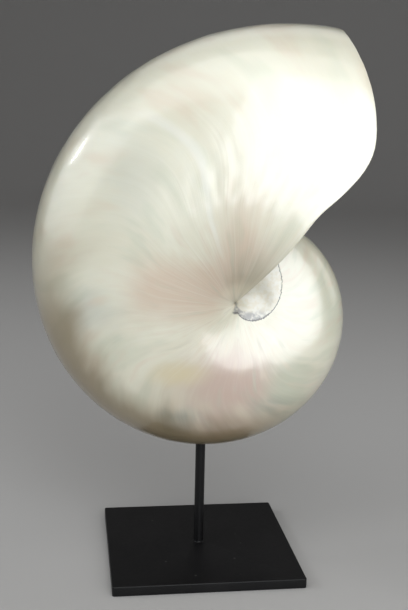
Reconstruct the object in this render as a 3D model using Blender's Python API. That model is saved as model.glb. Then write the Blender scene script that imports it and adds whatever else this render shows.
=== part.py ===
"""A polished nautilus shell held up by a black rod in a square plate.

Metres, +Z up. The origin is the centre of the plate's underside, and -Y faces the viewer.
"""

import math

import bmesh
import bpy
from mathutils import Matrix, Vector

# The stand
PLATE_WIDTH = 0.076
PLATE_THICKNESS = 0.004
PLATE_EDGE_ROUND = 0.0004
ROD_RADIUS = 0.002
ROD_SEAT_IN_PLATE = 0.0022
ROD_TOP = 0.0610
ROD_SIDES = 32
FIT_GAP = 0.0003

# Where the coil's axis passes over the plate, and how the shell is turned on the rod
COIL_X = 0.0119
COIL_HEIGHT = PLATE_THICKNESS + 0.1047
COIL_YAW = math.radians(-5.0)
COIL_TILT = math.radians(-1.5)

# The coil: its outer radius grows by one factor for each whole turn
RADIUS_AT_ZERO = 0.0438
GROWTH_PER_TURN = 3.21

# The whorl's section, as shares of the coil's outer radius
SECTION_CENTRE = 0.45
SECTION_HALF_WIDTH = 0.387
OUTER_POWER = 2.75
INNER_POWER = 1.7
HUB_SHARE = 0.2

# The closed hub, where every turn runs down to one height on the coil's axis
HUB_RADIUS = 0.060
HUB_START = 110.0

# The lip, in degrees of turn: at the outer keel, then its bulges on the flank and its run into the hub
LIP_AT_KEEL = 290.3
LIP_BULGE = 22.1
LIP_BULGE_SPAN = (26.3, 94.2)
LIP_SHOULDER = -7.7
LIP_SHOULDER_SPAN = (67.9, 101.5)
LIP_HUB_TURN = -7.3
LIP_HUB_SPAN = (120.0, 175.0)
LIP_ROUND = 0.4

# The wall and the living chamber that the wall encloses, back to its last partition
WALL = 0.0016
CHAMBER_TURN = 126.0
PARTITION_DEPTH = 16.0
PARTITION_ROWS = 6

# Mesh steps, in degrees
TURN_STEP = 6.0
AROUND_STEP = 8.0
CHAMBER_EDGE = 160.0


def smooth_step(span, value):
    """0 before the span, 1 after it, and a smooth rise between."""
    share = min(max((value - span[0]) / (span[1] - span[0]), 0.0), 1.0)
    return share * share * (3.0 - 2.0 * share)


def section(around):
    """Distance from the coil's axis and from its middle plane, as shares of the radius.

    around is 0 at the outer keel, 90 at the widest flank and 180 on the coil's axis.
    """
    across = abs(math.cos(math.radians(around)))
    out = math.sin(math.radians(around))
    if around <= 90.0:
        size = (across**OUTER_POWER + out**OUTER_POWER) ** (-1.0 / OUTER_POWER)
        reach = SECTION_CENTRE + (1.0 - SECTION_CENTRE) * size * across
        return reach, SECTION_HALF_WIDTH * size * out
    size = (across**INNER_POWER + out**INNER_POWER) ** (-1.0 / INNER_POWER)
    reach = SECTION_CENTRE * (1.0 - size * across)
    return reach, HUB_SHARE + (SECTION_HALF_WIDTH - HUB_SHARE) * size * out


def coil_radius(turn, around):
    """The coil's growing radius, eased to one value for all turns at the hub."""
    radius = RADIUS_AT_ZERO * GROWTH_PER_TURN ** (turn / 360.0)
    hub = smooth_step((HUB_START, 180.0), around)
    return radius ** (1.0 - hub) * HUB_RADIUS**hub


def lip_turn(around):
    """Degrees of turn at which the shell ends."""
    turn = LIP_AT_KEEL + LIP_BULGE * smooth_step(LIP_BULGE_SPAN, around)
    turn += LIP_SHOULDER * smooth_step(LIP_SHOULDER_SPAN, around)
    return turn + LIP_HUB_TURN * smooth_step(LIP_HUB_SPAN, around)


def ring_point(growth, around, inset=0.0):
    """Turn, distance from the axis and distance from the middle plane of a point of the wall.

    growth is degrees of turn counted from the lip, so the lines of equal growth follow the lip.
    """
    side = abs(around)
    turn = lip_turn(side) + growth
    radius = coil_radius(turn, side)
    reach, height = (share * radius for share in section(side))
    if inset:
        towards = Vector((SECTION_CENTRE * radius - reach, -height)).normalized()
        reach += inset * towards.x
        height += inset * towards.y
    return turn, reach, math.copysign(height, around)


def place(turn, reach, height):
    """A point of the coil: its axis is Y, and turn 0 is +X, 90 is down and 180 is -X."""
    angle = math.radians(turn)
    return Vector((reach * math.cos(angle), height, -reach * math.sin(angle)))


def add_face(mesh, corners):
    """A face on the corners that differ from their neighbours."""
    kept = [c for k, c in enumerate(corners) if c is not corners[k - 1]]
    if len(kept) > 2:
        mesh.faces.new(kept)


def add_sheet(mesh, sheet):
    """Faces between the rows of a grid of vertices."""
    for row, following in zip(sheet, sheet[1:]):
        for k in range(len(row) - 1):
            add_face(mesh, [row[k], row[k + 1], following[k + 1], following[k]])


def shell_mesh():
    """The whole shell as one closed mesh, with its living chamber open at the lip."""
    mesh = bmesh.new()
    edge_rows = round(2 * CHAMBER_EDGE / AROUND_STEP)
    rows = [AROUND_STEP * k - CHAMBER_EDGE for k in range(edge_rows + 1)]
    hubs = [mesh.verts.new(place(*ring_point(0.0, around))) for around in (-180.0, 180.0)]

    def ring(growth, inset=0.0):
        return [mesh.verts.new(place(*ring_point(growth, around, inset))) for around in rows]

    # The outside covers the last whole turn, and its earlier end is the living chamber's floor
    turn_steps = round(360.0 / TURN_STEP)
    chamber_steps = round(CHAMBER_TURN / TURN_STEP)
    outside = [ring(TURN_STEP * k - 360.0) for k in range(turn_steps + 1)]
    floor = [ring(TURN_STEP * k - CHAMBER_TURN - 360.0) for k in range(chamber_steps)]
    floor.append(outside[0])
    ceiling = [ring(TURN_STEP * k - CHAMBER_TURN, WALL) for k in range(chamber_steps + 1)]
    rim = ring(LIP_ROUND, WALL / 2.0)

    add_sheet(mesh, [[hubs[0], *row, hubs[1]] for row in outside])
    add_sheet(mesh, floor)
    add_sheet(mesh, ceiling)
    add_sheet(mesh, [outside[-1], rim, ceiling[-1]])

    # The chamber's two edges beside the hub, and the step where the lip runs into the hub
    for side in (0, -1):
        add_sheet(mesh, [[row[side] for row in ceiling], [row[side] for row in floor]])
        end = [hubs[side], outside[-1][side], rim[side], ceiling[-1][side], outside[0][side]]
        add_face(mesh, end)

    # The last partition, hollow towards the lip
    partition = [ceiling[0]]
    for k in range(1, PARTITION_ROWS):
        share = k / PARTITION_ROWS
        row = [ceiling[0][0] if share <= 0.5 else floor[0][0]]
        for around in rows[1:-1]:
            turn, reach, height = ring_point(-CHAMBER_TURN, around, WALL)
            _, floor_reach, floor_height = ring_point(-CHAMBER_TURN - 360.0, around)
            turn -= PARTITION_DEPTH * math.sin(math.pi * share) * math.cos(math.radians(around) / 2.0)
            reach += (floor_reach - reach) * share
            height += (floor_height - height) * share
            row.append(mesh.verts.new(place(turn, reach, height)))
        row.append(ceiling[0][-1] if share <= 0.5 else floor[0][-1])
        partition.append(row)
    partition.append(floor[0])
    add_sheet(mesh, partition)

    bmesh.ops.triangulate(mesh, faces=mesh.faces)
    bmesh.ops.recalc_face_normals(mesh, faces=mesh.faces)
    return mesh


def cylinder_mesh(radius, bottom, top):
    """A closed round bar from one height to another."""
    mesh = bmesh.new()
    middle = Matrix.Translation((0.0, 0.0, (bottom + top) / 2.0))
    bmesh.ops.create_cone(
        mesh,
        cap_ends=True,
        segments=ROD_SIDES,
        radius1=radius,
        radius2=radius,
        depth=top - bottom,
        matrix=middle,
    )
    return mesh


def plate_mesh():
    """A flat square plate with its underside at z = 0."""
    mesh = bmesh.new()
    size = Matrix.Diagonal((PLATE_WIDTH, PLATE_WIDTH, PLATE_THICKNESS, 1.0))
    bmesh.ops.create_cube(mesh, size=1.0, matrix=Matrix.Translation((0, 0, PLATE_THICKNESS / 2)) @ size)
    return mesh


def add_object(name, mesh):
    """An object in the scene from a bmesh."""
    data = bpy.data.meshes.new(name)
    mesh.to_mesh(data)
    mesh.free()
    obj = bpy.data.objects.new(name, data)
    bpy.context.scene.collection.objects.link(obj)
    return obj


def shade_smooth(obj, sharp_degrees):
    """Smooth shading, with edges over an angle kept sharp."""
    obj.data.shade_smooth()
    obj.data.set_sharp_from_angle(angle=math.radians(sharp_degrees))


def finish_with(obj, name, colour, roughness, metallic=0.0, coat=0.0):
    """Gives an object its Principled material."""
    material = bpy.data.materials.new(name)
    material.use_nodes = True
    shader = material.node_tree.nodes["Principled BSDF"]
    shader.inputs["Base Color"].default_value = (*colour, 1.0)
    shader.inputs["Roughness"].default_value = roughness
    shader.inputs["Metallic"].default_value = metallic
    shader.inputs["Coat Weight"].default_value = coat
    obj.data.materials.append(material)


def drill(obj, name, bottom, top):
    """Cuts a round hole for the rod, with room for it to slide in."""
    cutter = add_object(name, cylinder_mesh(ROD_RADIUS + FIT_GAP, bottom, top))
    cutter.hide_render = True
    cutter.display_type = "WIRE"
    cut = obj.modifiers.new("rod_hole", "BOOLEAN")
    cut.operation = "DIFFERENCE"
    cut.solver = "EXACT"
    cut.object = cutter


def build_base_plate():
    """The square plate, with slightly eased edges and a blind hole for the rod."""
    plate = add_object("base_plate", plate_mesh())
    bevel = plate.modifiers.new("eased_edges", "BEVEL")
    bevel.width = PLATE_EDGE_ROUND
    bevel.segments = 2
    hole_bottom = PLATE_THICKNESS - ROD_SEAT_IN_PLATE - FIT_GAP
    drill(plate, "plate_hole_cutter", hole_bottom, PLATE_THICKNESS + ROD_RADIUS)
    finish_with(plate, "black_satin_plate", (0.012, 0.012, 0.014), 0.42)


def build_rod():
    """The straight rod from inside the plate to inside the shell."""
    rod = add_object("rod", cylinder_mesh(ROD_RADIUS, PLATE_THICKNESS - ROD_SEAT_IN_PLATE, ROD_TOP))
    shade_smooth(rod, 40.0)
    finish_with(rod, "black_satin_rod", (0.012, 0.012, 0.014), 0.35)


def build_shell():
    """The coiled shell, with the rod's socket drilled into its solid underside."""
    shell = add_object("shell", shell_mesh())
    shell.location = (COIL_X, 0.0, COIL_HEIGHT)
    shell.rotation_euler = (COIL_TILT, 0.0, COIL_YAW)
    drill(shell, "shell_socket_cutter", PLATE_THICKNESS, ROD_TOP + FIT_GAP)
    shade_smooth(shell, 50.0)
    finish_with(shell, "polished_nacre", (0.82, 0.78, 0.68), 0.18, coat=0.6)


for old in list(bpy.data.objects):
    bpy.data.objects.remove(old, do_unlink=True)
build_base_plate()
build_rod()
build_shell()
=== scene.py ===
import math

import bmesh
import bpy
from mathutils import Euler, Matrix, Vector


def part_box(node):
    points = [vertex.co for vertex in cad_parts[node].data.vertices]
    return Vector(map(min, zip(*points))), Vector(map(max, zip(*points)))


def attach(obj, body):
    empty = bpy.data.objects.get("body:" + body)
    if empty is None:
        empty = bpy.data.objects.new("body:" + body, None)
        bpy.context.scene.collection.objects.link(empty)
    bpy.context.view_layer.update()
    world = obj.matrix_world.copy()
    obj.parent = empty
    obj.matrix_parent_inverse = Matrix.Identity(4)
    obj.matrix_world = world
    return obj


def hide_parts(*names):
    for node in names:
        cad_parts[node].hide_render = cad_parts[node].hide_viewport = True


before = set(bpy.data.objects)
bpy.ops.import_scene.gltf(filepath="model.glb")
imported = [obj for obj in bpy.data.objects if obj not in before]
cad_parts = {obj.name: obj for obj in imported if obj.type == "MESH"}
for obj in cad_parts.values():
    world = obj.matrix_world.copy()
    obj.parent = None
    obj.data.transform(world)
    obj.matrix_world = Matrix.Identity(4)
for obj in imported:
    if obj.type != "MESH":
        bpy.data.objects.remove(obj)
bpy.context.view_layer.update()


# The shell
# One grown piece: a tube of nacre that widens as it coils, its outer layer ground away and the nacre
# polished. It is open at the lip, and its last partition closes the living chamber behind.

SHELL_FORM = {
    "Radius at Zero": 0.0438,
    "Growth per Turn": 3.21,
    "Section Centre": 0.45,
    "Half Width": 0.387,
    "Outer Power": 2.75,
    "Inner Power": 1.7,
    "Hub Share": 0.2,
    "Hub Radius": 0.060,
    "Hub Start": 110.0,
    "Lip at Keel": 290.3,
    "Lip Bulge": 22.1,
    "Lip Shoulder": -7.7,
    "Lip Hub Turn": -7.3,
    "Lip Round": 0.4,
    "Lip Notch": 2.2,
    "Wall": 0.0016,
    "Chamber Turn": 126.0,
    "Chamber Edge": 160.0,
    "Partition Depth": 16.0,
    "Growth Ridges": 0.00004,
    "Waves": 0.00018,
    "Callus Height": 0.00035,
}
LIP_BULGE_SPAN = (26.3, 94.2)
LIP_SHOULDER_SPAN = (67.9, 101.5)
LIP_HUB_SPAN = (120.0, 175.0)
LIP_NOTCH_SPAN = (38.0, 2.0)
NOTCH_GROWTH = (-12.0, 0.0)
CALLUS_REACH = 0.0155
CALLUS_SLOPE = 0.000155
CALLUS_RAGGED = 0.002
CALLUS_RAGGED_RATE = 0.12
CALLUS_BANK = (-0.0006, 0.0010)
CALLUS_TURNS = (82.0, 70.0)
CALLUS_HUB_FADE = (176.0, 160.0)
RIDGE_RATE = 0.15
WAVE_RATES = (0.05, 0.030)
SHELL_SHARP_ANGLE = math.radians(55.0)
COIL_PLACE = Matrix.Translation((0.0119, 0.0, 0.1087)) @ Euler(
    (math.radians(-1.5), 0.0, math.radians(-5.0))
).to_matrix().to_4x4()

TURN_COLUMNS = 240
CHAMBER_COLUMNS = 84
LIP_COLUMNS = 8
AROUND_ROWS = 128
HUB_ROWS = 5
DROP_ROWS = 12
BODY_COLUMNS = TURN_COLUMNS + 2 * CHAMBER_COLUMNS + LIP_COLUMNS
HUB_COLUMNS = TURN_COLUMNS + LIP_COLUMNS + DROP_ROWS
MERGE_DISTANCE = 1e-6


class Wire:
    """A node's output. Arithmetic on wires adds Math nodes, and add() makes any other node."""

    def __init__(self, socket):
        self.socket = socket

    @staticmethod
    def add(tree, kind, settings=None, sockets=None, output=0):
        """A new node, with its settings made and its sockets given values or linked to wires."""
        node = tree.nodes.new(kind)
        for name, value in (settings or {}).items():
            setattr(node, name, value)
        for key, value in (sockets or {}).items():
            for item in value if isinstance(value, list) else [value]:
                if isinstance(item, Wire):
                    tree.links.new(item.socket, node.inputs[key])
                else:
                    node.inputs[key].default_value = item
        return Wire(node.outputs[output])

    def other(self, name):
        """Another output of the same node."""
        return Wire(self.socket.node.outputs[name])

    def calculate(self, operation, *values):
        """A Math node on the given values, in order."""
        return Wire.add(
            self.socket.id_data, "ShaderNodeMath", {"operation": operation}, dict(enumerate(values))
        )

    def math(self, operation, *values):
        """A Math node with this wire as its first value."""
        return self.calculate(operation, self, *values)

    def rise(self, low, high):
        """0 below low, 1 above high, and a smooth step between."""
        return Wire.add(
            self.socket.id_data,
            "ShaderNodeMapRange",
            {"interpolation_type": "SMOOTHSTEP"},
            {"Value": self, "From Min": low, "From Max": high},
        )

    def __add__(self, value):
        return self.calculate("ADD", self, value)

    def __sub__(self, value):
        return self.calculate("SUBTRACT", self, value)

    def __rsub__(self, value):
        return self.calculate("SUBTRACT", value, self)

    def __mul__(self, value):
        return self.calculate("MULTIPLY", self, value)

    def __truediv__(self, value):
        return self.calculate("DIVIDE", self, value)

    def __rtruediv__(self, value):
        return self.calculate("DIVIDE", value, self)

    def __pow__(self, value):
        return self.calculate("POWER", self, value)

    __radd__ = __add__
    __rmul__ = __mul__


def shell_sheet(tree, columns, rows, fields):
    """A grid whose points carry named fields, each worked out from the grid's two shares."""
    sheet = Wire.add(
        tree,
        "GeometryNodeMeshGrid",
        {},
        {"Size X": 1.0, "Size Y": 1.0, "Vertices X": columns + 1, "Vertices Y": rows + 1},
    )
    spot = Wire.add(
        tree, "ShaderNodeSeparateXYZ", {}, {0: Wire.add(tree, "GeometryNodeInputPosition")}
    )
    for name, value in fields(spot.other("X") + 0.5, spot.other("Y") + 0.5).items():
        sheet = Wire.add(
            tree,
            "GeometryNodeStoreNamedAttribute",
            {"data_type": "FLOAT", "domain": "POINT"},
            {"Geometry": sheet, "Name": name, "Value": value},
        )
    return sheet


def lip_fields(step, size):
    """The half round of the lip: how far along it a column is, and its inset and forward reach."""
    angle = (step / LIP_COLUMNS).math("MINIMUM", 1.0).math("MAXIMUM", 0.0) * math.pi
    inset = size["Wall"] * 0.5 * (1.0 - angle.math("COSINE"))
    return inset, size["Lip Round"] * angle.math("SINE")


def body_fields(size):
    """From the partition along the chamber's floor, once round outside, over the lip and back in."""
    outside = TURN_COLUMNS + CHAMBER_COLUMNS

    def fields(along, across):
        step = along * BODY_COLUMNS
        inset, forward = lip_fields(step - outside, size)
        span = size["Chamber Turn"] + 360.0
        growth = span * ((step / outside).math("MINIMUM", 1.0) - 1.0) + forward
        inner = (step - (outside + LIP_COLUMNS)).math("MAXIMUM", 0.0) / CHAMBER_COLUMNS
        return {
            "growth": growth - size["Chamber Turn"] * inner,
            "around": size["Chamber Edge"] * (2.0 * across - 1.0),
            "inset": inset,
        }

    return fields


def hub_fields(size, side):
    """The cap round the coil's axis: once round outside, over the lip's end and down its step."""

    def fields(along, across):
        step = along * HUB_COLUMNS
        inset, forward = lip_fields(step - TURN_COLUMNS, size)
        drop = ((step - (TURN_COLUMNS + LIP_COLUMNS)) / DROP_ROWS).math("MAXIMUM", 0.0)
        turned = (step / TURN_COLUMNS).math("MINIMUM", 1.0)
        edge = size["Chamber Edge"]
        return {
            "growth": 360.0 * (turned - 1.0) + forward,
            "around": side * (edge + (180.0 - edge) * across),
            "inset": inset * (1.0 - across),
            "drop": drop,
        }

    return fields


def edge_fields(size, side):
    """The narrow wall beside the hub that joins the chamber's ceiling to its floor."""

    def fields(along, across):
        return {
            "growth": size["Chamber Turn"] * (along - 1.0),
            "around": size["Chamber Edge"] * side,
            "inset": size["Wall"],
            "drop": across,
        }

    return fields


def partition_fields(size):
    """The last partition, from the ceiling to the floor, hollow towards the lip."""

    def fields(along, across):
        out = 2.0 * across - 1.0
        lag = size["Partition Depth"] * (along * math.pi).math("SINE") * (1.0 - out * out)
        return {
            "growth": size["Chamber Turn"] * -1.0,
            "around": size["Chamber Edge"] * out,
            "inset": size["Wall"],
            "drop": along,
            "lag": lag,
            "partition": 1.0,
        }

    return fields


def field(tree, name):
    """A value that the sheets carry by name."""
    return Wire.add(
        tree, "GeometryNodeInputNamedAttribute", {"data_type": "FLOAT"}, {"Name": name}
    )


def turn_noise(tree, turn, detail):
    """Noise that changes with the turn alone."""
    return Wire.add(
        tree, "ShaderNodeTexNoise", {"noise_dimensions": "1D"}, {"W": turn, "Detail": detail}
    )


def wall_point(tree, size, side, turn, inset):
    """Distance from the coil's axis and from its middle plane, for a point of the wall."""
    hub = side.rise(size["Hub Start"], 180.0)
    radius = size["Radius at Zero"] * size["Growth per Turn"] ** (turn / 360.0)
    radius = radius ** (1.0 - hub) * size["Hub Radius"] ** hub

    angle = side.math("RADIANS")
    across = angle.math("COSINE").math("ABSOLUTE")
    out = angle.math("SINE").math("ABSOLUTE")
    inner = side.math("GREATER_THAN", 90.0)
    power = size["Outer Power"] + (size["Inner Power"] - size["Outer Power"]) * inner
    bulge = (across**power + out**power) ** (-1.0 / power)
    base = size["Hub Share"] * inner
    centre = size["Section Centre"]
    reach = radius * (centre + bulge * across * (1.0 - centre - inner))
    height = radius * (base + (size["Half Width"] - base) * bulge * out)

    # The callus is a thin plate laid over the older turn in front of the lip, with a ragged edge
    ragged = turn_noise(tree, turn * CALLUS_RAGGED_RATE, 4.0)
    callus_edge = CALLUS_REACH - CALLUS_SLOPE * turn + CALLUS_RAGGED * (ragged - 0.5)
    callus = (callus_edge - reach).rise(*CALLUS_BANK)
    callus = callus * turn.rise(*CALLUS_TURNS) * side.rise(*CALLUS_HUB_FADE)

    # The whole wall has faint growth ridges and soft waves, which grow with it and end at the hub
    ridges = turn_noise(tree, turn * RIDGE_RATE, 1.0)
    along, down = WAVE_RATES
    spot = Wire.add(tree, "ShaderNodeCombineXYZ", {}, {"X": turn * along, "Y": side * down})
    waves = Wire.add(
        tree, "ShaderNodeTexNoise", {"noise_dimensions": "2D"}, {"Vector": spot, "Detail": 0.0}
    )
    raised = size["Growth Ridges"] * (ridges - 0.5) + size["Waves"] * (waves - 0.5)
    raised = raised * reach / size["Hub Radius"] * (1.0 - hub) + size["Callus Height"] * callus

    sink = inset - raised
    to_centre = centre * radius - reach
    length = (to_centre * to_centre + height * height).math("SQRT")
    return reach + sink * to_centre / length, height - sink * height / length


def shell_tree():
    """Geometry Nodes for the whole shell: its sheets, then one formula that places all their points."""
    tree = bpy.data.node_groups.new("nautilus_shell", "GeometryNodeTree")
    for name in SHELL_FORM:
        tree.interface.new_socket(name=name, in_out="INPUT", socket_type="NodeSocketFloat")
    tree.interface.new_socket(name="Material", in_out="INPUT", socket_type="NodeSocketMaterial")
    tree.interface.new_socket(name="Geometry", in_out="OUTPUT", socket_type="NodeSocketGeometry")
    start = tree.nodes.new("NodeGroupInput")
    size = {name: Wire(start.outputs[name]) for name in SHELL_FORM}

    sheets = [
        shell_sheet(tree, BODY_COLUMNS, AROUND_ROWS, body_fields(size)),
        shell_sheet(tree, DROP_ROWS, AROUND_ROWS, partition_fields(size)),
    ]
    for side in (-1.0, 1.0):
        sheets.append(shell_sheet(tree, HUB_COLUMNS, HUB_ROWS, hub_fields(size, side)))
        sheets.append(shell_sheet(tree, CHAMBER_COLUMNS, DROP_ROWS, edge_fields(size, side)))
    shell = Wire.add(tree, "GeometryNodeJoinGeometry", {}, {0: sheets})

    growth, around, drop = (field(tree, name) for name in ("growth", "around", "drop"))
    side = around.math("ABSOLUTE")
    lip = size["Lip at Keel"] + size["Lip Bulge"] * side.rise(*LIP_BULGE_SPAN)
    lip += size["Lip Shoulder"] * side.rise(*LIP_SHOULDER_SPAN)
    lip += size["Lip Hub Turn"] * side.rise(*LIP_HUB_SPAN)
    notch = size["Lip Notch"] * side.rise(*LIP_NOTCH_SPAN) * growth.rise(*NOTCH_GROWTH)
    turn = lip + growth - notch
    reach, height = wall_point(tree, size, side, turn, field(tree, "inset"))
    floor_reach, floor_height = wall_point(tree, size, side, turn - 360.0, 0.0)
    reach += (floor_reach - reach) * drop
    height += (floor_height - height) * drop
    angle = (turn - field(tree, "lag")).math("RADIANS")
    spot = Wire.add(
        tree,
        "ShaderNodeCombineXYZ",
        {},
        {
            "X": reach * angle.math("COSINE"),
            "Y": height * around.math("SIGN"),
            "Z": reach * angle.math("SINE") * -1.0,
        },
    )
    for name, value in {"turn": turn, "reach": reach}.items():
        shell = Wire.add(
            tree,
            "GeometryNodeStoreNamedAttribute",
            {"data_type": "FLOAT", "domain": "POINT"},
            {"Geometry": shell, "Name": name, "Value": value},
        )
    shell = Wire.add(tree, "GeometryNodeSetPosition", {}, {"Geometry": shell, "Position": spot})
    shell = Wire.add(
        tree, "GeometryNodeMergeByDistance", {}, {"Geometry": shell, "Distance": MERGE_DISTANCE}
    )
    shell = Wire.add(tree, "GeometryNodeRealizeInstances", {}, {"Geometry": shell})
    shell = Wire.add(
        tree,
        "GeometryNodeSetMaterial",
        {},
        {"Geometry": shell, "Material": Wire(start.outputs["Material"])},
    )
    end = tree.nodes.new("NodeGroupOutput")
    tree.links.new(shell.socket, end.inputs["Geometry"])
    return tree


def blend_colour(tree, share, first, second):
    """A colour between two, by a share."""
    return Wire.add(
        tree, "ShaderNodeMix", {"data_type": "RGBA"}, {0: share, 6: first, 7: second}, output=2
    )


def new_material(name):
    """An empty material with its output and a Principled shader, and its node tree."""
    material = bpy.data.materials.new(name)
    material.use_nodes = True
    return material, material.node_tree, material.node_tree.nodes["Principled BSDF"]


NACRE_CREAM = (0.850, 0.830, 0.690, 1.0)
NACRE_SHADE = (0.800, 0.770, 0.630, 1.0)
# Painted shade: a darker colour for the lower part of the shell, in part a darker tone of the nacre
NACRE_LOW_PAINTED_SHADE = (0.640, 0.590, 0.465, 1.0)
NACRE_PALE = (0.900, 0.890, 0.800, 1.0)
NACRE_TAN = (0.600, 0.490, 0.370, 1.0)
NACRE_PINK = (0.740, 0.600, 0.475, 1.0)
# A mauve tint of the nacre, made darker as painted shade for the lower part
NACRE_MAUVE_AND_PAINTED_SHADE = (0.620, 0.470, 0.400, 1.0)
NACRE_GREEN = (0.570, 0.620, 0.490, 1.0)
NACRE_YELLOW = (0.740, 0.650, 0.440, 1.0)
NACRE_GREY = (0.540, 0.565, 0.520, 1.0)
NACRE_TEAL = (0.330, 0.360, 0.310, 1.0)
# Painted shade: the olive darkening behind the lip, near the hub
NACRE_OLIVE_PAINTED_SHADE = (0.520, 0.490, 0.370, 1.0)
# Painted shade with some warm brown: the dark tone along the shell's lower back
NACRE_BROWN_AND_PAINTED_SHADE = (0.270, 0.205, 0.115, 1.0)
CALLUS_CREAM = (0.870, 0.845, 0.745, 1.0)
# Painted shadow: the grey inside the lower edge of the callus
CALLUS_PAINTED_SHADOW_GREY = (0.310, 0.310, 0.318, 1.0)
CRACK_DARK = (0.045, 0.042, 0.045, 1.0)

# Each cloud of tint: its colour and strength, then its middle and its half size in x and z. The low and
# olive clouds are painted shade, the mauve clouds in part.
NACRE_TINTS = (
    (NACRE_PINK, 0.90, (-0.014, 0.117), (0.026, 0.013)),
    (NACRE_PINK, 0.80, (0.009, 0.136), (0.012, 0.022)),
    # Painted shade behind the lip, near the hub
    (NACRE_OLIVE_PAINTED_SHADE, 0.60, (0.014, 0.121), (0.008, 0.012)),
    (NACRE_GREY, 0.45, (-0.046, 0.110), (0.014, 0.012)),
    (NACRE_GREY, 0.30, (-0.033, 0.160), (0.012, 0.020)),
    # Painted shade: a broad darker cloud over the lower part of the shell
    (NACRE_LOW_PAINTED_SHADE, 0.70, (-0.005, 0.070), (0.060, 0.022)),
    # Mauve tint low on the shell, darkened as painted shade
    (NACRE_MAUVE_AND_PAINTED_SHADE, 0.90, (0.008, 0.080), (0.024, 0.016)),
    (NACRE_YELLOW, 0.90, (-0.013, 0.084), (0.013, 0.006)),
    (NACRE_GREEN, 0.65, (0.031, 0.078), (0.010, 0.013)),
    (NACRE_GREEN, 0.40, (-0.036, 0.092), (0.012, 0.008)),
    (NACRE_GREEN, 0.35, (0.048, 0.105), (0.008, 0.018)),
    (NACRE_TEAL, 0.75, (-0.012, 0.064), (0.009, 0.006)),
    (NACRE_TEAL, 0.50, (0.024, 0.069), (0.008, 0.005)),
    # Mauve tint low on the shell, darkened as painted shade
    (NACRE_MAUVE_AND_PAINTED_SHADE, 0.60, (0.008, 0.062), (0.016, 0.007)),
)
TINT_EDGE = (1.35, 0.20)
TINT_DRIFT = 1.8
TINT_MARBLING = 1.2
FAR_SIDE_SHIFT = (0.012, 0.007)

# Where the finer marks lie: spans of growth back from the lip, of turn, or of the way round to the hub
PAUSE_BEFORE_LIP = 53.5
PAUSE_WIDTH = (2.6, 0.4)
PAUSE_FLANK = ((42.0, 60.0), (128.0, 104.0))
FAN_FLANK = (70.0, 125.0)
BACK_FLANK = (66.0, 44.0)
BACK_GROWTH = ((-82.0, -125.0), (-250.0, -200.0))
CRACK_TURNS = ((-75.0, -68.0), (122.0, 100.0))
CRACK_REACH = 0.01440
CRACK_LEAST_REACH = 0.0022
CRACK_TEETH = (0.0016, 0.0006)
LOWER_CALLUS_TURNS = (2.0, 30.0)
PAINTED_SHADOW_BAND = (-0.0066, -0.0036)
PIT_REACH = (0.0010, 0.0004)
PIT_TURNS = (-400.0, -300.0)
NACRE_GLOSS = {
    "IOR": 2.1,
    "Coat Roughness": 0.11,
    "Subsurface Weight": 0.10,
    "Subsurface Radius": (0.004, 0.003, 0.002),
    "Subsurface Scale": 1.0,
}


class Wall:
    """What the shell's mesh tells its material about a point, and the noises read there."""

    def __init__(self, tree):
        self.tree = tree
        self.growth, self.around, self.partition, self.turn, self.reach = (
            Wire.add(tree, "ShaderNodeAttribute", {"attribute_name": name}).other("Fac")
            for name in ("growth", "around", "partition", "turn", "reach")
        )
        self.flank = self.around.math("ABSOLUTE")
        self.side = self.around.math("SIGN")
        self.spot = Wire.add(tree, "ShaderNodeTexCoord").other("Object")

    def point(self, x, y, z=0.0):
        """A vector from three values."""
        return Wire.add(self.tree, "ShaderNodeCombineXYZ", {}, {"X": x, "Y": y, "Z": z})

    def noise(self, scale, detail, vector, distortion=0.0):
        """Noise read at a vector."""
        return Wire.add(
            self.tree,
            "ShaderNodeTexNoise",
            {},
            {"Vector": vector, "Scale": scale, "Detail": detail, "Distortion": distortion},
        )

    def streaks(self, along, across, detail, distortion=0.0):
        """Noise that follows the wall, stretched along the growth lines."""
        vector = self.point(self.growth * along, self.flank * across, self.side * 3.0)
        return self.noise(1.0, detail, vector, distortion)

    def notches(self, scale, detail):
        """Noise that moves with the turn alone, to notch an edge."""
        return self.noise(1.0, detail, self.point(self.turn * scale, self.side * 7.0))

    def speckle(self, scale, detail, distortion=0.0):
        """Noise through space."""
        return self.noise(scale, detail, self.spot, distortion)


def clouded_nacre(wall, clouds, marbling, drift):
    """Cream nacre under clouds of pink, mauve, yellow, green and grey, shifted on the far side, with
    darker clouds of painted shade low down and behind the lip.
    """
    tree = wall.tree
    on_far_side = wall.around.rise(-1.0, 1.0)
    shift = wall.point(on_far_side * FAR_SIDE_SHIFT[0], 0.0, on_far_side * FAR_SIDE_SHIFT[1])
    spot = Wire.add(tree, "ShaderNodeVectorMath", {"operation": "ADD"}, {0: wall.spot, 1: shift})
    colour = blend_colour(tree, clouds.rise(0.36, 0.64), NACRE_SHADE, NACRE_CREAM)
    for tint, strength, (place_x, place_z), (wide, tall) in NACRE_TINTS:
        near = Wire.add(
            tree,
            "ShaderNodeVectorMath",
            {"operation": "MULTIPLY_ADD"},
            {0: spot, 1: (1.0 / wide, 0.0, 1.0 / tall), 2: (-place_x / wide, 0.0, -place_z / tall)},
        )
        distance = Wire.add(
            tree, "ShaderNodeVectorMath", {"operation": "LENGTH"}, {0: near}, output="Value"
        )
        ragged = distance + TINT_DRIFT * (drift - 0.5) + TINT_MARBLING * (marbling - 0.5)
        colour = blend_colour(tree, ragged.rise(*TINT_EDGE) * strength, colour, tint)
    colour = blend_colour(tree, marbling.rise(0.52, 0.70) * 0.35, colour, NACRE_PINK)
    return blend_colour(tree, marbling.rise(0.46, 0.30) * 0.30, colour, NACRE_GREEN)


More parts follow.
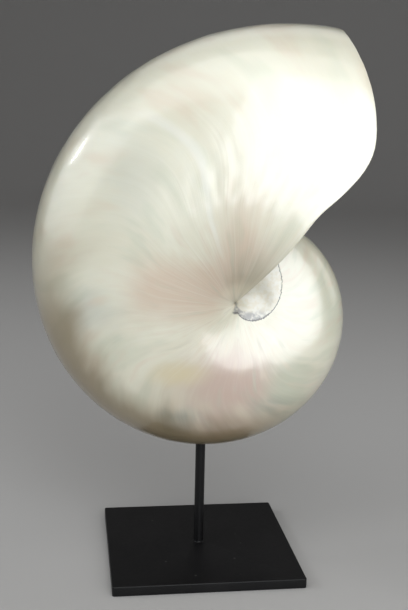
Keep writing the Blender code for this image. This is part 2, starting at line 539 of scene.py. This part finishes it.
def growth_lines(wall, colour, lines, threads, drift):
    """Pale lines and tan threads that fan out from the hub, and the pale band of a pause in growth."""
    pause = (wall.growth + PAUSE_BEFORE_LIP + 3.0 * (drift - 0.5)).math("ABSOLUTE").rise(*PAUSE_WIDTH)
    pause *= wall.flank.rise(*PAUSE_FLANK[0]) * wall.flank.rise(*PAUSE_FLANK[1])
    fan = wall.flank.rise(*FAN_FLANK)
    pale = lines.rise(0.46, 0.70) * (0.06 + 0.14 * fan) + pause * 0.60
    colour = blend_colour(wall.tree, pale, colour, NACRE_PALE)
    tan = threads.rise(0.48, 0.72) * (0.03 + 0.30 * fan)
    return blend_colour(wall.tree, tan, colour, NACRE_TAN)


def brown_back_and_painted_shade(wall, colour, clouds):
    """The darker brown along the lower part of the shell's back: painted shade, with some warm brown of
    the nacre.
    """
    back = (wall.flank + 30.0 * (clouds - 0.5)).rise(*BACK_FLANK)
    back *= wall.growth.rise(*BACK_GROWTH[0]) * wall.growth.rise(*BACK_GROWTH[1])
    return blend_colour(wall.tree, back * 0.80, colour, NACRE_BROWN_AND_PAINTED_SHADE)


def hub_callus(wall, colour, mottled):
    """The callus over the hub, matt cream with yellow mottling and a mottled grey painted shadow inside
    its lower edge, and the dark crack along its edge.

    Gives the colour and the shares of callus and crack.
    """
    tree, turn, reach = wall.tree, wall.turn, wall.reach
    teeth = wall.notches(0.30, 4.0) * CRACK_TEETH[0] + wall.notches(1.6, 2.0) * CRACK_TEETH[1]
    edge = (CRACK_REACH - CALLUS_SLOPE * turn).math("MAXIMUM", CRACK_LEAST_REACH)
    past = reach - (edge + teeth)
    on_hub = turn.rise(*CRACK_TURNS[0]) * turn.rise(*CRACK_TURNS[1])
    callus = past.rise(0.0001, -0.0001) * on_hub

    low = turn.rise(*LOWER_CALLUS_TURNS)
    # Painted shadow: mottled grey in a band inside the callus's lower edge
    painted_shadow = (0.80 + 3.0 * (mottled - 0.5)).rise(0.0, 1.0)
    painted_shadow *= low * past.rise(*PAINTED_SHADOW_BAND)
    patch = blend_colour(tree, mottled.rise(0.40, 0.62) * 0.35, CALLUS_CREAM, NACRE_YELLOW)
    patch = blend_colour(tree, painted_shadow * 0.85, patch, CALLUS_PAINTED_SHADOW_GREY)
    colour = blend_colour(tree, callus, colour, patch)

    breaks = wall.notches(0.45, 3.0)
    width = 0.00010 + 0.00012 * low + (0.00014 + 0.00020 * low) * breaks.rise(0.40, 0.60)
    crack = (past.math("ABSOLUTE") / width).rise(1.3, 0.5) * on_hub * (0.55 + breaks * 0.8)
    pit = reach.rise(*PIT_REACH) * turn.rise(*PIT_TURNS)
    dark = (crack * 0.9).math("MAXIMUM", pit * 0.25)
    return blend_colour(tree, dark, colour, CRACK_DARK), callus, crack


def polished_nacre():
    """Cream nacre with clouds of tint, painted shade low down, behind the lip and at the callus, and
    fine growth lines, polished to a deep gloss.
    """
    material, tree, shader = new_material("polished_nacre")
    wall = Wall(tree)
    clouds = wall.streaks(0.06, 0.020, 3.0, 0.2)
    marbling = wall.streaks(0.10, 0.030, 2.0, 0.3)
    lines = wall.streaks(0.6, 0.006, 5.0)
    threads = wall.streaks(2.6, 0.010, 3.0)
    drift = wall.speckle(24.0, 2.0, 0.2)
    mottled = wall.speckle(650.0, 4.0)

    colour = clouded_nacre(wall, clouds, marbling, drift)
    colour = growth_lines(wall, colour, lines, threads, drift)
    # Painted shade along the lower back
    colour = brown_back_and_painted_shade(wall, colour, clouds)
    colour, callus, crack = hub_callus(wall, colour, mottled)
    tree.links.new(colour.socket, shader.inputs["Base Color"])

    height = lines * 0.6 + threads * 0.12 + wall.speckle(120.0, 2.0) * 0.10
    height = height + callus * (0.8 + mottled * 0.5) - crack * 1.5
    bump = Wire.add(
        tree, "ShaderNodeBump", {}, {"Strength": 0.30, "Distance": 0.0002, "Height": height}
    )
    tree.links.new(bump.socket, shader.inputs["Normal"])
    roughness = 0.285 + 0.06 * clouds + 0.25 * wall.partition + 0.08 * callus
    tree.links.new(roughness.socket, shader.inputs["Roughness"])
    tree.links.new((0.9 - 0.2 * callus).socket, shader.inputs["Coat Weight"])
    for name, value in NACRE_GLOSS.items():
        shader.inputs[name].default_value = value
    return material


def build_shell():
    """Runs the shell's tree once and keeps its result as a plain closed mesh."""
    holder = bpy.data.objects.new("shell_maker", bpy.data.meshes.new("shell_maker"))
    bpy.context.scene.collection.objects.link(holder)
    nodes = holder.modifiers.new("nautilus_shell", "NODES")
    nodes.node_group = shell_tree()
    values = {**SHELL_FORM, "Material": polished_nacre()}
    for item in nodes.node_group.interface.items_tree:
        if item.in_out == "INPUT":
            nodes[item.identifier] = values[item.name]
    made = holder.evaluated_get(bpy.context.evaluated_depsgraph_get())
    mesh = bpy.data.meshes.new_from_object(made)
    holder.modifiers.remove(nodes)
    bpy.data.objects.remove(holder)

    shaping = bmesh.new()
    shaping.from_mesh(mesh)
    bmesh.ops.recalc_face_normals(shaping, faces=shaping.faces)
    shaping.to_mesh(mesh)
    shaping.free()
    mesh.transform(COIL_PLACE)
    mesh.shade_smooth()
    mesh.set_sharp_from_angle(angle=SHELL_SHARP_ANGLE)
    piece = bpy.data.objects.new("nautilus_shell", mesh)
    bpy.context.scene.collection.objects.link(piece)
    return piece


shell = build_shell()
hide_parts("shell")
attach(shell, "root")


# The rod
# A round steel bar, satin black, its foot held in the plate and its top in the shell's underside.
# A thin bead of black paint rounds the corner where it meets the plate.

ROD_RADIUS = 0.002
FOOT_BEAD = 0.0006
BEAD_STEPS = 6
ROD_SIDES = 64
ROD_SHARP_ANGLE = math.radians(60.0)
ROD_ROUGHNESS = 0.36
PAINT_DEEP = (0.0075, 0.0075, 0.0085, 1.0)
PAINT_WORN = (0.0140, 0.0135, 0.0145, 1.0)
DUST_GREY = (0.30, 0.29, 0.28, 1.0)


def satin_black(name, roughness):
    """Satin black paint with a fine grain and a few pale specks of dust."""
    material, tree, shader = new_material(name)
    spot = Wire.add(tree, "ShaderNodeTexCoord").other("Object")
    grain = Wire.add(
        tree, "ShaderNodeTexNoise", {}, {"Vector": spot, "Scale": 900.0, "Detail": 3.0}
    )
    wear = Wire.add(tree, "ShaderNodeTexNoise", {}, {"Vector": spot, "Scale": 45.0, "Detail": 4.0})
    dust = Wire.add(tree, "ShaderNodeTexVoronoi", {}, {"Vector": spot, "Scale": 130.0})
    specks = dust.rise(0.075, 0.045)
    colour = blend_colour(tree, wear.rise(0.3, 0.8), PAINT_DEEP, PAINT_WORN)
    colour = blend_colour(tree, specks * 0.25, colour, DUST_GREY)
    tree.links.new(colour.socket, shader.inputs["Base Color"])
    rough = roughness + 0.16 * (wear - 0.5) + 0.10 * (grain - 0.5)
    tree.links.new(rough.socket, shader.inputs["Roughness"])
    bump = Wire.add(
        tree, "ShaderNodeBump", {}, {"Strength": 0.12, "Distance": 0.00008, "Height": grain}
    )
    tree.links.new(bump.socket, shader.inputs["Normal"])
    return material


def turned_mesh(name, profile, sides):
    """A mesh turned about the upright axis from (radius, height) points."""
    turned = bmesh.new()
    points = [turned.verts.new((radius, 0.0, height)) for radius, height in profile]
    edges = [turned.edges.new(pair) for pair in zip(points, points[1:])]
    bmesh.ops.spin(
        turned,
        geom=points + edges,
        axis=(0.0, 0.0, 1.0),
        cent=(0.0, 0.0, 0.0),
        steps=sides,
        angle=2.0 * math.pi,
    )
    bmesh.ops.remove_doubles(turned, verts=turned.verts, dist=MERGE_DISTANCE)
    bmesh.ops.recalc_face_normals(turned, faces=turned.faces)
    mesh = bpy.data.meshes.new(name)
    turned.to_mesh(mesh)
    turned.free()
    return mesh


def build_rod():
    """The rod turned in one piece with the bead of paint at its foot."""
    low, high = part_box("rod")
    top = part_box("base_plate")[1].z
    bead = [
        (ROD_RADIUS + FOOT_BEAD * (1.0 - math.sin(step)), top + FOOT_BEAD * (1.0 - math.cos(step)))
        for step in (math.radians(90.0 * k / BEAD_STEPS) for k in range(BEAD_STEPS + 1))
    ]
    profile = [(0.0, low.z), (ROD_RADIUS, low.z), (ROD_RADIUS, top - FOOT_BEAD), *bead]
    profile += [(ROD_RADIUS, high.z), (0.0, high.z)]
    mesh = turned_mesh("stand_rod", profile, ROD_SIDES)
    mesh.shade_smooth()
    mesh.set_sharp_from_angle(angle=ROD_SHARP_ANGLE)
    mesh.materials.append(satin_black("satin_black_rod", ROD_ROUGHNESS))
    piece = bpy.data.objects.new("stand_rod", mesh)
    bpy.context.scene.collection.objects.link(piece)
    return piece


rod = build_rod()
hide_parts("rod")
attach(rod, "root")


# The base plate
# A square of steel plate, satin black all over, with its edges and corners just eased by hand.
# It lies flat on the table and carries the rod at its centre.

CORNER_ROUND = 0.0009
CORNER_SEGMENTS = 6
EDGE_ROUND = 0.00045
EDGE_SEGMENTS = 5
RIM_ANGLE = math.radians(60.0)
PLATE_SHARP_ANGLE = math.radians(40.0)
PLATE_ROUGHNESS = 0.42


def build_base_plate():
    """The plate as a block, its upright corners rounded first and then its rims."""
    low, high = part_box("base_plate")
    middle, size = (low + high) / 2.0, high - low
    block = bmesh.new()
    bmesh.ops.create_cube(
        block, size=1.0, matrix=Matrix.Translation(middle) @ Matrix.Diagonal((*size, 1.0))
    )
    upright = [e for e in block.edges if abs(e.verts[0].co.z - e.verts[1].co.z) > size.z / 2.0]
    bmesh.ops.bevel(
        block,
        geom=upright,
        offset=CORNER_ROUND,
        segments=CORNER_SEGMENTS,
        profile=0.5,
        affect="EDGES",
    )
    rims = [e for e in block.edges if e.calc_face_angle(0.0) > RIM_ANGLE]
    bmesh.ops.bevel(
        block, geom=rims, offset=EDGE_ROUND, segments=EDGE_SEGMENTS, profile=0.5, affect="EDGES"
    )
    mesh = bpy.data.meshes.new("stand_plate")
    block.to_mesh(mesh)
    block.free()
    mesh.shade_smooth()
    mesh.set_sharp_from_angle(angle=PLATE_SHARP_ANGLE)
    mesh.materials.append(satin_black("satin_black_plate", PLATE_ROUGHNESS))
    piece = bpy.data.objects.new("stand_plate", mesh)
    bpy.context.scene.collection.objects.link(piece)
    return piece


plate = build_base_plate()
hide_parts("base_plate")
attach(plate, "root")


# The studio
# A plain pale floor, soft lamps, and the camera where the photograph was taken from.

FLOOR_FLAT = 1.4
COVE_RADIUS = 0.9
COVE_TOP = 2.2
COVE_STEPS = 12
FLOOR_SIDES = 96
FLOOR_PALE = (0.62, 0.61, 0.60, 1.0)
FLOOR_ROUGHNESS = 0.9
CAMERA_AZIMUTH = math.radians(-8.0)
CAMERA_ELEVATION = math.radians(11.6)
CAMERA_ROLL = math.radians(1.3)
CAMERA_PLACE = Vector((-0.0540, -0.3853, 0.1856))
CAMERA_LENS = 58.25
CAMERA_SENSOR = 36.0
OBJECT_MIDDLE = Vector((0.0, 0.0, 0.13))
WINDOW_BLUE = (0.95, 0.98, 1.0)
SIDE_BLUE = (0.92, 0.97, 1.0)
SKY_GREY = (0.5, 0.5, 0.5, 1.0)
SKY_STRENGTH = 0.32


def build_floor():
    """A flat round floor that sweeps up to a low wall all the way round."""
    cove = [
        (FLOOR_FLAT + COVE_RADIUS * math.sin(step), COVE_RADIUS * (1.0 - math.cos(step)))
        for step in (math.radians(90.0 * k / COVE_STEPS) for k in range(COVE_STEPS + 1))
    ]
    wall = (FLOOR_FLAT + COVE_RADIUS, COVE_TOP)
    mesh = turned_mesh("floor", [(0.0, 0.0), *cove, wall], FLOOR_SIDES)
    mesh.shade_smooth()
    material, _, shader = new_material("pale_floor")
    shader.inputs["Base Color"].default_value = FLOOR_PALE
    shader.inputs["Roughness"].default_value = FLOOR_ROUGHNESS
    mesh.materials.append(material)
    floor = bpy.data.objects.new("floor", mesh)
    bpy.context.scene.collection.objects.link(floor)
    return floor


def add_lamp(name, place, target, size, radiance, colour=(1.0, 1.0, 1.0), spread=180.0):
    """A soft rectangular lamp that faces a point, with a grid that narrows its spread."""
    lamp = bpy.data.lights.new(name, "AREA")
    lamp.shape = "RECTANGLE"
    lamp.size, lamp.size_y = size
    half = math.radians(spread) / 2.0
    lamp.spread = 2.0 * half
    lamp.energy = radiance * math.pi * size[0] * size[1] * (1.0 - half / math.tan(half))
    lamp.color = colour
    obj = bpy.data.objects.new(name, lamp)
    obj.location = place
    obj.rotation_euler = (Vector(place) - Vector(target)).to_track_quat("Z", "Y").to_euler()
    bpy.context.scene.collection.objects.link(obj)


def build_camera():
    """The camera, turned by its azimuth, elevation and roll."""
    back = Vector(
        (
            math.sin(CAMERA_AZIMUTH) * math.cos(CAMERA_ELEVATION),
            -math.cos(CAMERA_AZIMUTH) * math.cos(CAMERA_ELEVATION),
            math.sin(CAMERA_ELEVATION),
        )
    )
    right = Vector((math.cos(CAMERA_AZIMUTH), math.sin(CAMERA_AZIMUTH), 0.0))
    up = back.cross(right)
    turned = Matrix((right, up, back)).transposed() @ Matrix.Rotation(CAMERA_ROLL, 3, "Z")
    lens = bpy.data.cameras.new("camera")
    lens.lens = CAMERA_LENS
    lens.sensor_width = CAMERA_SENSOR
    camera = bpy.data.objects.new("camera", lens)
    camera.matrix_world = Matrix.Translation(CAMERA_PLACE) @ turned.to_4x4()
    bpy.context.scene.collection.objects.link(camera)
    bpy.context.scene.camera = camera


build_floor()
build_camera()
add_lamp("window", (0.12, -0.43, 0.40), (0.12, 0.0, 0.46), (0.46, 0.70), 3.1, WINDOW_BLUE, 130.0)
add_lamp("overhead", (-0.20, -0.45, 0.95), OBJECT_MIDDLE, (1.20, 0.80), 0.82, spread=130.0)
add_lamp("side_window", (-0.86, -0.13, 0.46), OBJECT_MIDDLE, (1.18, 0.74), 0.80, SIDE_BLUE, 150.0)
add_lamp("small_lamp", (-0.865, 0.215, 0.584), OBJECT_MIDDLE, (0.05, 0.10), 26.0)
add_lamp("right_window", (0.80, -0.12, 0.40), OBJECT_MIDDLE, (0.40, 0.50), 0.7, spread=120.0)
add_lamp("back_window", (0.10, 0.62, 0.95), OBJECT_MIDDLE, (1.10, 0.60), 0.32, spread=120.0)

world = bpy.data.worlds.new("studio")
world.use_nodes = True
sky = world.node_tree.nodes["Background"]
sky.inputs["Color"].default_value = SKY_GREY
sky.inputs["Strength"].default_value = SKY_STRENGTH
bpy.context.scene.world = world
bpy.context.scene.view_settings.view_transform = "Standard"
bpy.context.scene.view_settings.look = "Medium High Contrast"
